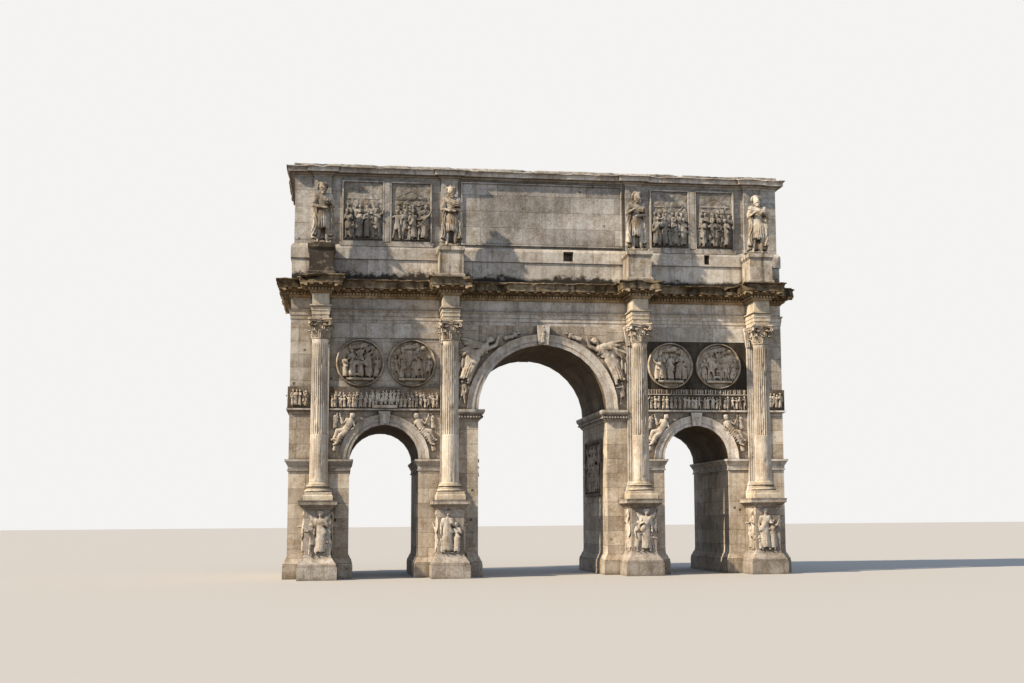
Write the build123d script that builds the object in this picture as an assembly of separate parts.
"""A three-bay triumphal arch of marble: a column in front of each pier, and a tall attic with statues.

Millimetres, +Z up. X runs along the front from left to right, the front looks towards -Y, and the
origin lies on the ground in the middle of the plan. The back repeats the front.
"""
from build123d import *
import math
import os

os.makedirs("parts", exist_ok=True)

# Driving sizes of the masonry body
BODY_W = 24900            # length of the wall body
BODY_D = 7400             # depth of the wall body
GATE_W = 6500             # clear width of the middle passage
SIDE_W = 3360             # clear width of a side passage
SIDE_X = 7860             # middle of a side passage from the middle of the arch
GATE_SPRING = 8200        # height at which the middle vault springs
SIDE_SPRING = 5740        # height at which the side vaults spring
ATTIC_W = 24700
ATTIC_D = 7300
ATTIC_WALL = 1400         # thickness of the walls round the hollow attic

# Driving heights, from the ground up
PEDESTAL_TOP = 3720
COLUMN_BASE_TOP = 4620
CABLE_TOP = 6850          # the flutes are filled up to this height
CAPITAL_BOTTOM = 11450
ARCHITRAVE_BOTTOM = 12440
FRIEZE_BOTTOM = 13100
CORNICE_BOTTOM = 13670
ATTIC_CORNICE_BOTTOM = 19780
CAPPING_H = 200

# Driving sizes of the columns and what goes with them
COLUMN_OUT = 1200         # column axis in front of the wall face
PEDESTAL_W = 1240         # die of a pedestal
SHAFT_R_LOW = 430
SHAFT_R_HIGH = 375
FLUTES = 24
FLUTE_DEPTH = 34
BREAK_W = 800             # entablature block that breaks forward over a column
PILASTER_W = 860
PILASTER_OUT = 180

# Derived planes and axes
WALL_Y = -BODY_D / 2
END_X = BODY_W / 2
GATE_X = GATE_W / 2
SIDE_IN = SIDE_X - SIDE_W / 2
SIDE_OUT = SIDE_X + SIDE_W / 2
INNER_X = (GATE_X + SIDE_IN) / 2
OUTER_X = (SIDE_OUT + END_X) / 2
COLUMNS_X = (-OUTER_X, -INNER_X, INNER_X, OUTER_X)
COLUMN_Y = WALL_Y - COLUMN_OUT
BREAK_Y = COLUMN_Y - BREAK_W / 2
ATTIC_Y = -ATTIC_D / 2
FLAT_TOLERANCE = 1e-3     # how far a corner may lie off its face


def total_rise(steps):
    """Height of a stack of courses."""
    return sum(step[0] for step in steps)


def box(x0, x1, y0, y1, z0, z1):
    """Plain block between the given planes."""
    return Pos((x0 + x1) / 2, (y0 + y1) / 2, (z0 + z1) / 2) * Box(x1 - x0, y1 - y0, z1 - z0)


def polygon(points):
    """Flat face on a closed ring of points."""
    return Face(Wire.make_polygon([Vector(*p) for p in points], close=True))


def patch(a, b, c, d):
    """One flat quad, or two triangles where the four points don't lie in a plane."""
    u, v, w = (Vector(*p) - Vector(*a) for p in (b, c, d))
    if abs(u.cross(v).dot(w)) < FLAT_TOLERANCE * u.cross(v).length:
        return [polygon((a, b, c, d))]
    return [polygon((a, b, c)), polygon((a, c, d))]


def ruled(rings):
    """Flat-faced solid through closed rings of points that all have the same count."""
    faces = [polygon(rings[0]), polygon(rings[-1])]
    for low, high in zip(rings, rings[1:]):
        for i in range(len(low)):
            faces += patch(low[i - 1], low[i], high[i], high[i - 1])
    return Solid(Shell(faces)).fix()


def rect_ring(rect, off, z, sides):
    """Rectangle (x0, x1, y0, y1) grown by off on the named sides: l, r, f (front), b (back)."""
    x0, x1, y0, y1 = rect
    x0 -= off * ("l" in sides)
    x1 += off * ("r" in sides)
    y0 -= off * ("f" in sides)
    y1 += off * ("b" in sides)
    return [(x0, y0, z), (x1, y0, z), (x1, y1, z), (x0, y1, z)]


def moulded(rect, z, steps, sides="lrfb"):
    """Stack of mitred courses on a rectangle; a step is (rise, projection below, projection above)."""
    body = None
    for rise, low, high in steps:
        course = ruled([rect_ring(rect, low, z, sides), rect_ring(rect, high, z + rise, sides)])
        body = course if body is None else body + course
        z += rise
    return body


def band(rect, z, steps, sides):
    """Moulded band that only wraps a rectangle: the rectangle itself is left open."""
    return moulded(rect, z, steps, sides) - box(*rect, z, z + total_rise(steps))


def round_ring(x, y, z, radius, count, squash=1.0):
    """Ring of points round a centre."""
    turn = 2 * math.pi / count
    return [(x + radius * math.cos(turn * i), y + radius * squash * math.sin(turn * i), z) for i in range(count)]


def turned(x, y, z, steps, count):
    """Turned solid in flat facets; a step is (rise, radius below, radius above)."""
    body = None
    for rise, low, high in steps:
        course = ruled([round_ring(x, y, z, low, count), round_ring(x, y, z + rise, high, count)])
        body = course if body is None else body + course
        z += rise
    return body


def both_ends(shape):
    """The shape and its copy at the other end of the arch."""
    return [shape, mirror(shape, about=Plane.YZ)]


def to_back(shapes):
    """Copies of front pieces on the back face."""
    return [mirror(s, about=Plane.XZ) for s in shapes]


def save(name, shapes):
    """Write one node."""
    solids = [s for shape in shapes for s in shape.solids()]
    export_step(Compound(children=solids) if len(solids) > 1 else solids[0], "parts/" + name + ".step")


def save_ends(name, shape):
    """Write the right-hand piece and its left-hand copy as two nodes."""
    right, left = both_ends(shape)
    save(name + "_right", [right])
    save(name + "_left", [left])


def save_fronts(name, shapes):
    """Write the front pieces and their copies on the back as two nodes."""
    save(name + "_front", shapes)
    save(name + "_back", to_back(shapes))


# Piers: plinth and base moulding run round all four sides
PIER_BASE = [(620, 210, 210), (110, 190, 190), (60, 190, 140), (190, 140, 60), (200, 30, 0)]


def pier(x0, x1):
    rect = (x0, x1, WALL_Y, -WALL_Y)
    return moulded(rect, 0, PIER_BASE) + box(*rect, total_rise(PIER_BASE), GATE_SPRING)


outer_pier = pier(SIDE_OUT, END_X)
inner_pier = pier(GATE_X, SIDE_IN)
save_ends("outer_pier", outer_pier)
save_ends("inner_pier", inner_pier)


# Vaults over the passages, and the plain walls beside the middle one
def vault(x0, x1, spring, top):
    """Block over a passage, cut by its round barrel vault."""
    block = box(x0, x1, WALL_Y, -WALL_Y, spring, top)
    barrel = Cylinder((x1 - x0) / 2, BODY_D * 2, rotation=(90, 0, 0))
    return block - Pos((x0 + x1) / 2, 0, spring) * barrel


save_ends("side_vault", vault(SIDE_IN, SIDE_OUT, SIDE_SPRING, GATE_SPRING))
save("central_vault", [vault(-GATE_X, GATE_X, GATE_SPRING, ARCHITRAVE_BOTTOM)])
save_ends("upper_wall", box(GATE_X, END_X, WALL_Y, -WALL_Y, GATE_SPRING, ARCHITRAVE_BOTTOM))

# Pedestals: plinth, base moulding, die and cornice slab, run back to the wall
PEDESTAL_FOOT = [(620, 310, 310), (130, 270, 270), (80, 270, 200), (200, 200, 70), (150, 50, 0)]
PEDESTAL_HEAD = [(80, 40, 90), (140, 110, 250), (120, 280, 280), (80, 280, 310)]


def pedestal(x):
    half = PEDESTAL_W / 2
    rect = (x - half, x + half, COLUMN_Y - half, WALL_Y)
    die = (PEDESTAL_TOP - total_rise(PEDESTAL_FOOT) - total_rise(PEDESTAL_HEAD), 0, 0)
    block = moulded(rect, 0, PEDESTAL_FOOT + [die] + PEDESTAL_HEAD, "lrf")
    for neighbour in both_ends(outer_pier) + both_ends(inner_pier):
        block = block - neighbour
    return block


save_fronts("pedestals", [pedestal(x) for x in COLUMNS_X])

# Column bases: stepped plinth, two tori with a hollow between them
BASE_HALF = 640
BASE_PLINTH = [(230, 50, 50), (50, 50, 10), (120, 0, 0)]
BASE_RINGS = [(80, 600, 640), (80, 640, 560), (80, 520, 560), (60, 560, 520)]
BASE_FACETS = 10


def column_base(x):
    rect = (x - BASE_HALF, x + BASE_HALF, COLUMN_Y - BASE_HALF, COLUMN_Y + BASE_HALF)
    plinth = moulded(rect, PEDESTAL_TOP, BASE_PLINTH)
    z = PEDESTAL_TOP + total_rise(BASE_PLINTH)
    apophyge = (COLUMN_BASE_TOP - z - total_rise(BASE_RINGS), SHAFT_R_LOW + 60, SHAFT_R_LOW)
    return plinth + turned(x, COLUMN_Y, z, BASE_RINGS + [apophyge], BASE_FACETS)


# Column shafts: they taper, and their flutes, grooves between upright edges, are filled in the lowest third
OPEN_FLUTE = ((0, FLUTE_DEPTH), (0.5, 0))
FILLED_FLUTE = ((0, 0),)


def fluted_ring(x, z, radius, flute):
    """Outline of a shaft: each flute is given as (share of its width, depth) pairs."""
    turn = 2 * math.pi / FLUTES
    points = []
    for i in range(FLUTES):
        for share, sunk in flute:
            angle = (i + share) * turn
            points.append((x + (radius - sunk) * math.cos(angle), COLUMN_Y + (radius - sunk) * math.sin(angle), z))
    return points


def column_shaft(x):
    share = (CABLE_TOP - COLUMN_BASE_TOP) / (CAPITAL_BOTTOM - COLUMN_BASE_TOP)
    middle = SHAFT_R_LOW + (SHAFT_R_HIGH - SHAFT_R_LOW) * share
    filled = ruled([fluted_ring(x, COLUMN_BASE_TOP, SHAFT_R_LOW, FILLED_FLUTE),
                    fluted_ring(x, CABLE_TOP, middle, FILLED_FLUTE)])
    fluted = ruled([fluted_ring(x, CABLE_TOP, middle, OPEN_FLUTE),
                    fluted_ring(x, CAPITAL_BOTTOM, SHAFT_R_HIGH, OPEN_FLUTE)])
    return filled + fluted


# Capitals: flaring bell under a slab with hollowed sides and cut corners
BELL_RINGS = [(60, 425, 425), (540, 400, 500), (230, 430, 560)]
BELL_FACETS = 8           # one for each leaf
ABACUS_HALF = 590
ABACUS_SCOOP = 90
ABACUS_CUT = 60
ABACUS_BEND = 0.35        # where the hollow of a side starts, as a share of the half width


def abacus(x, y, z0, z1):
    side = ABACUS_HALF - ABACUS_SCOOP
    bend = ABACUS_HALF * ABACUS_BEND
    tip = ABACUS_HALF - ABACUS_CUT
    ring = []
    for k in range(4):
        c, s = math.cos(k * math.pi / 2), math.sin(k * math.pi / 2)
        for u, v in ((ABACUS_HALF, -tip), (side, -bend), (side, bend), (ABACUS_HALF, tip)):
            ring.append((x + u * c - v * s, y + u * s + v * c))
    return ruled([[(px, py, z) for px, py in ring] for z in (z0, z1)])


def capital(x):
    bell = turned(x, COLUMN_Y, CAPITAL_BOTTOM, BELL_RINGS, BELL_FACETS)
    return bell + abacus(x, COLUMN_Y, CAPITAL_BOTTOM + total_rise(BELL_RINGS), ARCHITRAVE_BOTTOM)


save_fronts("column_bases", [column_base(x) for x in COLUMNS_X])
save_fronts("column_shafts", [column_shaft(x) for x in COLUMNS_X])
save_fronts("capitals", [capital(x) for x in COLUMNS_X])

# Pilasters on the wall behind the columns, with seven flutes each
PILASTER_BASE = [(400, 170, 170), (300, 130, 60), (200, 80, 0)]
PILASTER_CAP = [(300, 20, 60), (540, 50, 140), (150, 150, 150)]
PILASTER_FLUTES = 7
PILASTER_FLUTE_W = 66
PILASTER_FLUTE_DEPTH = 24


def pilaster_shaft(x):
    """Upright board whose front carries the flutes."""
    front = WALL_Y - PILASTER_OUT
    pitch = PILASTER_W / (PILASTER_FLUTES + 0.5)
    ring = [(x - PILASTER_W / 2, WALL_Y), (x - PILASTER_W / 2, front)]
    for i in range(PILASTER_FLUTES):
        middle = x + (i - (PILASTER_FLUTES - 1) / 2) * pitch
        for side, sunk in ((-0.5, 0), (0, 1), (0.5, 0)):
            ring.append((middle + side * PILASTER_FLUTE_W, front + sunk * PILASTER_FLUTE_DEPTH))
    ring += [(x + PILASTER_W / 2, front), (x + PILASTER_W / 2, WALL_Y)]
    return ruled([[(px, py, z) for px, py in ring] for z in (COLUMN_BASE_TOP, CAPITAL_BOTTOM)])


def pilaster(x):
    rect = (x - PILASTER_W / 2, x + PILASTER_W / 2, WALL_Y - PILASTER_OUT, WALL_Y)
    foot = moulded(rect, PEDESTAL_TOP, PILASTER_BASE, "lrf")
    head = moulded(rect, CAPITAL_BOTTOM, PILASTER_CAP, "lrf")
    return foot + pilaster_shaft(x) + head


pilasters = [pilaster(x) for x in COLUMNS_X]
save_fronts("pilasters", pilasters)

# Imposts: moulded bands from a pilaster into the passage and out to the back
SIDE_IMPOST = [(60, 60, 70), (190, 30, 30), (60, 50, 80), (150, 80, 160), (100, 180, 180)]
GATE_IMPOST = [(60, 50, 70), (90, 90, 110), (110, 110, 150), (120, 170, 270), (60, 280, 290), (130, 310, 310)]
BAY_IN = INNER_X + PILASTER_W / 2
BAY_OUT = OUTER_X - PILASTER_W / 2
END_BAY = OUTER_X + PILASTER_W / 2
GATE_BAY = INNER_X - PILASTER_W / 2


def impost(x0, x1, top, steps, sides):
    """Band on a pier that ends at the given height."""
    return band((x0, x1, WALL_Y, -WALL_Y), top - total_rise(steps), steps, sides)


save("side_imposts",
     both_ends(impost(SIDE_OUT, BAY_OUT, SIDE_SPRING, SIDE_IMPOST, "lfb"))
     + both_ends(impost(BAY_IN, SIDE_IN, SIDE_SPRING, SIDE_IMPOST, "rfb"))
     + both_ends(impost(END_BAY, END_X, SIDE_SPRING, SIDE_IMPOST, "rfb")))
save("central_imposts", both_ends(impost(GATE_X, GATE_BAY, GATE_SPRING, GATE_IMPOST, "lfb")))

# Archivolts in two halves, with a wedge-shaped keystone between them
STRING_BOTTOM = 8090
KEY_GAP = 0.3             # joint between a keystone and what it touches
SIDE_ARCH = [(0, 70), (170, 70), (175, 95), (345, 95), (520, 160), (520, 0)]
GATE_ARCH = [(0, 90), (190, 90), (200, 120), (375, 120), (560, 200), (560, 0)]
SIDE_KEY = 7              # half the angle of a keystone, in degrees
GATE_KEY = 4.3
SIDE_KEY_OUT = 240
GATE_KEY_OUT = 380
SIDE_SEGMENTS = 6
GATE_SEGMENTS = 8


def archivolt_half(x, spring, radius, profile, key, count):
    """Moulding bent round the right-hand quarter of an arch, from its spring line up to the keystone."""
    gap = math.degrees(KEY_GAP / radius)
    rings = []
    for i in range(count + 1):
        angle = math.radians((90 - key - gap) * i / count)
        ring = [(x + radius * math.cos(angle), WALL_Y, spring + radius * math.sin(angle))]
        for out, proud in profile:
            r = radius + out
            ring.append((x + r * math.cos(angle), WALL_Y - proud, spring + r * math.sin(angle)))
        rings.append(ring)
    return ruled(rings)


def keystone(x, spring, radius, top, key, out):
    """Wedge whose sides point at the centre of the arch."""
    slope = math.tan(math.radians(key))
    low = spring + radius * math.cos(math.radians(key))
    ring = [(x - (low - spring) * slope, low), (x, spring + radius), (x + (low - spring) * slope, low),
            (x + (top - spring) * slope, top), (x - (top - spring) * slope, top)]
    return ruled([[(px, y, pz) for px, pz in ring] for y in (WALL_Y, WALL_Y - out)])


side_half = archivolt_half(0, SIDE_SPRING, SIDE_W / 2, SIDE_ARCH, SIDE_KEY, SIDE_SEGMENTS)
side_halves = [Pos(SIDE_X, 0, 0) * side_half, Pos(SIDE_X, 0, 0) * mirror(side_half, about=Plane.YZ)]
side_arches = [s for h in side_halves for s in both_ends(h)]
gate_half = archivolt_half(0, GATE_SPRING, GATE_X, GATE_ARCH, GATE_KEY, GATE_SEGMENTS)
save("side_archivolts", side_arches + to_back(side_arches))
save("central_archivolts", both_ends(gate_half) + to_back(both_ends(gate_half)))
side_key = keystone(SIDE_X, SIDE_SPRING, SIDE_W / 2, STRING_BOTTOM, SIDE_KEY, SIDE_KEY_OUT)
gate_key = keystone(0, GATE_SPRING, GATE_X, ARCHITRAVE_BOTTOM, GATE_KEY, GATE_KEY_OUT)
keys = both_ends(side_key) + [gate_key]
save("keystones", keys + to_back(keys))

# String courses and figure friezes: over the side passages, and round the outer ends
STRING = [(50, 60, 120), (80, 150, 150)]
STRING_TOP = STRING_BOTTOM + total_rise(STRING)
FRIEZE_H = 1060
FRIEZE_OUT = 90
FRIEZE_TOP = STRING_TOP + FRIEZE_H
bay_rect = (BAY_IN, BAY_OUT, WALL_Y, -WALL_Y)
end_rect = (END_BAY, END_X, WALL_Y, -WALL_Y)
bay_strings = both_ends(band(bay_rect, STRING_BOTTOM, STRING, "f"))
bay_friezes = both_ends(box(BAY_IN, BAY_OUT, WALL_Y - FRIEZE_OUT, WALL_Y, STRING_TOP, FRIEZE_TOP))
save("string_courses", bay_strings + to_back(bay_strings) + both_ends(band(end_rect, STRING_BOTTOM, STRING, "rfb")))
save("figure_friezes", bay_friezes + to_back(bay_friezes)
     + both_ends(band(end_rect, STRING_TOP, [(FRIEZE_H, FRIEZE_OUT, FRIEZE_OUT)], "rfb")))

# Round framed reliefs, the dark facing behind the right-hand pair, and the plain band of blocks over them
FACING_OUT = 30
FACING_TOP = 11720
PLAIN_BAND_OUT = 45
ROUNDEL_Z = 10470
ROUNDEL_R = 1180
ROUNDELS_X = (6540, 9070)
ROUNDEL_RINGS = [(150, 1.0, 0.96), (30, 0.92, 0.90)]
ROUNDEL_FIELD = 0.84      # radius of the sunk field, as a share of the whole
ROUNDEL_SUNK = 110
ROUNDEL_FACETS = 16


def roundel(x, y):
    rings = [(rise, ROUNDEL_R * low, ROUNDEL_R * high) for rise, low, high in ROUNDEL_RINGS]
    top = total_rise(rings)
    field = ROUNDEL_R * ROUNDEL_FIELD
    frame = turned(0, 0, 0, rings, ROUNDEL_FACETS)
    frame = frame - turned(0, 0, top - ROUNDEL_SUNK, [(ROUNDEL_SUNK, field * 0.97, field)], ROUNDEL_FACETS)
    return Plane(origin=(x, y, ROUNDEL_Z), x_dir=(1, 0, 0), z_dir=(0, -1, 0)) * frame


def bay_facing(out, low, high):
    """Slab over the wall between two pilasters, cut to their outline."""
    slab = box(BAY_IN, BAY_OUT, WALL_Y - out, WALL_Y, low, high)
    for neighbour in pilasters:
        slab = slab - neighbour
    return slab


save("dark_facing", [bay_facing(FACING_OUT, FRIEZE_TOP, FACING_TOP)])
save_fronts("plain_bands", both_ends(bay_facing(PLAIN_BAND_OUT, FACING_TOP, ARCHITRAVE_BOTTOM)))
left_roundels = [roundel(-x, WALL_Y) for x in ROUNDELS_X]
right_roundels = [roundel(x, WALL_Y - FACING_OUT) for x in ROUNDELS_X]
save("roundels_front", left_roundels + right_roundels)
save("roundels_back", to_back([s for r in left_roundels for s in both_ends(r)]))


# Framed fields: reliefs of the middle passage, reliefs and bare lettering fields of the attic
def centred(width, height, z):
    """Rectangle of points round the origin."""
    return [(-width / 2, -height / 2, z), (width / 2, -height / 2, z), (width / 2, height / 2, z),
            (-width / 2, height / 2, z)]


def framed(width, height, out, border):
    """Slab with a sunk field and a splayed border, lying in the XY plane with its face up."""
    slab = ruled([centred(width, height, 0), centred(width, height, out)])
    splay = border * 0.6
    field = ruled([centred(width - 2 * border, height - 2 * border, out * 0.35),
                   centred(width - 2 * border + splay, height - 2 * border + splay, out)])
    return slab - field


PASSAGE_Z = (3950, 6830)
PASSAGE_W = 4700
PASSAGE_OUT = 120
PASSAGE_BORDER = 180
passage_wall = Plane(origin=(-GATE_X, 0, sum(PASSAGE_Z) / 2), x_dir=(0, 1, 0), z_dir=(1, 0, 0))
passage_panel = passage_wall * framed(PASSAGE_W, PASSAGE_Z[1] - PASSAGE_Z[0], PASSAGE_OUT, PASSAGE_BORDER)
save("passage_reliefs", both_ends(passage_panel))

# Entablature of the wall, and the blocks that break forward over the columns
ARCHITRAVE_STEPS = [(180, 0, 0), (190, 25, 25), (180, 50, 50), (110, 60, 120)]
FRIEZE_STEPS = [(CORNICE_BOTTOM - FRIEZE_BOTTOM, 0, 0)]
CORNICE_STEPS = [(110, 40, 110), (140, 130, 130), (170, 160, 300), (240, 620, 620), (160, 640, 760), (60, 780, 780)]
CORNICE_TOP = CORNICE_BOTTOM + total_rise(CORNICE_STEPS)
wall_rect = (-END_X, END_X, WALL_Y, -WALL_Y)
architrave = moulded(wall_rect, ARCHITRAVE_BOTTOM, ARCHITRAVE_STEPS)
frieze = moulded(wall_rect, FRIEZE_BOTTOM, FRIEZE_STEPS)
cornice = moulded(wall_rect, CORNICE_BOTTOM, CORNICE_STEPS)
save("main_architrave", [architrave])
save("main_frieze", [frieze])
save("main_cornice", [cornice])


def entablature_break(x):
    rect = (x - BREAK_W / 2, x + BREAK_W / 2, BREAK_Y, WALL_Y)
    block = moulded(rect, ARCHITRAVE_BOTTOM, ARCHITRAVE_STEPS + FRIEZE_STEPS + CORNICE_STEPS, "lrf")
    return block - architrave - frieze - cornice


save_fronts("column_entablatures", [entablature_break(x) for x in COLUMNS_X])

# Attic podium with a rounded top course, in which two blocks are missing on the front
PODIUM_STEPS = [(1100, 100, 100), (540, 160, 160), (90, 160, 135), (110, 135, 40)]
PODIUM_TOP = CORNICE_TOP + total_rise(PODIUM_STEPS)
HOLES_X = ((1060, 1580), (8420, 8710))
HOLE_Z = (15750, 16250)
HOLE_DEPTH = 700
attic_rect = (-ATTIC_W / 2, ATTIC_W / 2, ATTIC_Y, -ATTIC_Y)
podium = moulded(attic_rect, CORNICE_TOP, PODIUM_STEPS)
for x0, x1 in HOLES_X:
    podium = podium - box(x0, x1, WALL_Y - HOLE_DEPTH, WALL_Y + HOLE_DEPTH, *HOLE_Z)
save("attic_podium", [podium])

# Plinths of the statues
PLINTH_W = 1160
PLINTH_OUT = 1640
PLINTH_STEPS = [(160, 80, 80), (60, 80, 10), (1050, 0, 0), (100, 10, 70), (180, 80, 80)]
STATUE_FOOT = CORNICE_TOP + total_rise(PLINTH_STEPS)


def statue_plinth(x):
    rect = (x - PLINTH_W / 2, x + PLINTH_W / 2, WALL_Y - PLINTH_OUT, ATTIC_Y)
    return moulded(rect, CORNICE_TOP, PLINTH_STEPS, "lrf") - moulded(attic_rect, CORNICE_TOP, PODIUM_STEPS)


save_fronts("statue_plinths", [statue_plinth(x) for x in COLUMNS_X])

# Four attic walls round a closed chamber
front_wall = box(-ATTIC_W / 2, ATTIC_W / 2, ATTIC_Y, ATTIC_Y + ATTIC_WALL, PODIUM_TOP, ATTIC_CORNICE_BOTTOM)
save_fronts("attic_wall", [front_wall])
save_ends("attic_wall", box(ATTIC_W / 2 - ATTIC_WALL, ATTIC_W / 2, ATTIC_Y + ATTIC_WALL, -ATTIC_Y - ATTIC_WALL,
                            PODIUM_TOP, ATTIC_CORNICE_BOTTOM))

# Pilaster strips behind the statues, and the attic cornice, which breaks forward over them
STRIP_W = 840
STRIP_OUT = 160
ATTIC_CORNICE_STEPS = [(180, 20, 200), (150, 340, 340), (110, 350, 430), (50, 450, 450)]
ATTIC_CORNICE_TOP = ATTIC_CORNICE_BOTTOM + total_rise(ATTIC_CORNICE_STEPS)
CAPPING_OUT = 80
strips = [(x - STRIP_W / 2, x + STRIP_W / 2, ATTIC_Y - STRIP_OUT, ATTIC_Y) for x in COLUMNS_X]
save_fronts("attic_pilasters", [box(*rect, PODIUM_TOP, ATTIC_CORNICE_BOTTOM) for rect in strips])
attic_cornice = moulded(attic_rect, ATTIC_CORNICE_BOTTOM, ATTIC_CORNICE_STEPS)
for rect in strips:
    front_break = moulded(rect, ATTIC_CORNICE_BOTTOM, ATTIC_CORNICE_STEPS, "lrf")
    attic_cornice = attic_cornice + front_break + mirror(front_break, about=Plane.XZ)
save("attic_cornice", [attic_cornice])
save("attic_capping", [moulded(attic_rect, ATTIC_CORNICE_TOP, [(CAPPING_H, CAPPING_OUT, CAPPING_OUT)])])

# Framed reliefs of the attic, two on each side of the bare lettering field
RELIEF_MARGINS = (465, 525)      # to the strip by the middle and to the one by the end
RELIEF_GAP = 290
relief_bay = (INNER_X + STRIP_W / 2, OUTER_X - STRIP_W / 2)
RELIEF_W = (relief_bay[1] - relief_bay[0] - sum(RELIEF_MARGINS) - RELIEF_GAP) / 2
RELIEFS_X = (relief_bay[0] + RELIEF_MARGINS[0] + RELIEF_W / 2, relief_bay[1] - RELIEF_MARGINS[1] - RELIEF_W / 2)
RELIEF_Z = (16500, 19620)
RELIEF_OUT = 150
RELIEF_BORDER = 90
FIELD_MARGIN = 165
FIELD_W = 2 * (INNER_X - STRIP_W / 2 - FIELD_MARGIN)
FIELD_Z = (16500, 19720)
FIELD_OUT = 120
FIELD_BORDER = 80


def attic_panel(x, width, heights, out, border):
    face = Plane(origin=(x, ATTIC_Y, sum(heights) / 2), x_dir=(1, 0, 0), z_dir=(0, -1, 0))
    return face * framed(width, heights[1] - heights[0], out, border)


reliefs = []
for x in RELIEFS_X:
    reliefs += both_ends(attic_panel(x, RELIEF_W, RELIEF_Z, RELIEF_OUT, RELIEF_BORDER))
save_fronts("attic_reliefs", reliefs)
save_fronts("bare_field", [attic_panel(0, FIELD_W, FIELD_Z, FIELD_OUT, FIELD_BORDER)])

# Standing statues: rings of (height, half width, half depth) up the cloaked figure
STATUE_OUT = 1050         # axis of a statue in front of the wall face
STATUE_RINGS = [(0, 440, 330), (120, 440, 330), (130, 370, 260), (900, 400, 270), (2000, 450, 270), (2380, 400, 240),
                (2580, 140, 130), (2800, 175, 185), (3070, 60, 70)]
STATUE_FACETS = 8


def statue(x):
    rings = [round_ring(x, WALL_Y - STATUE_OUT, STATUE_FOOT + z, wide, STATUE_FACETS, deep / wide)
             for z, wide, deep in STATUE_RINGS]
    return ruled(rings)


save_fronts("statues", [statue(x) for x in COLUMNS_X])
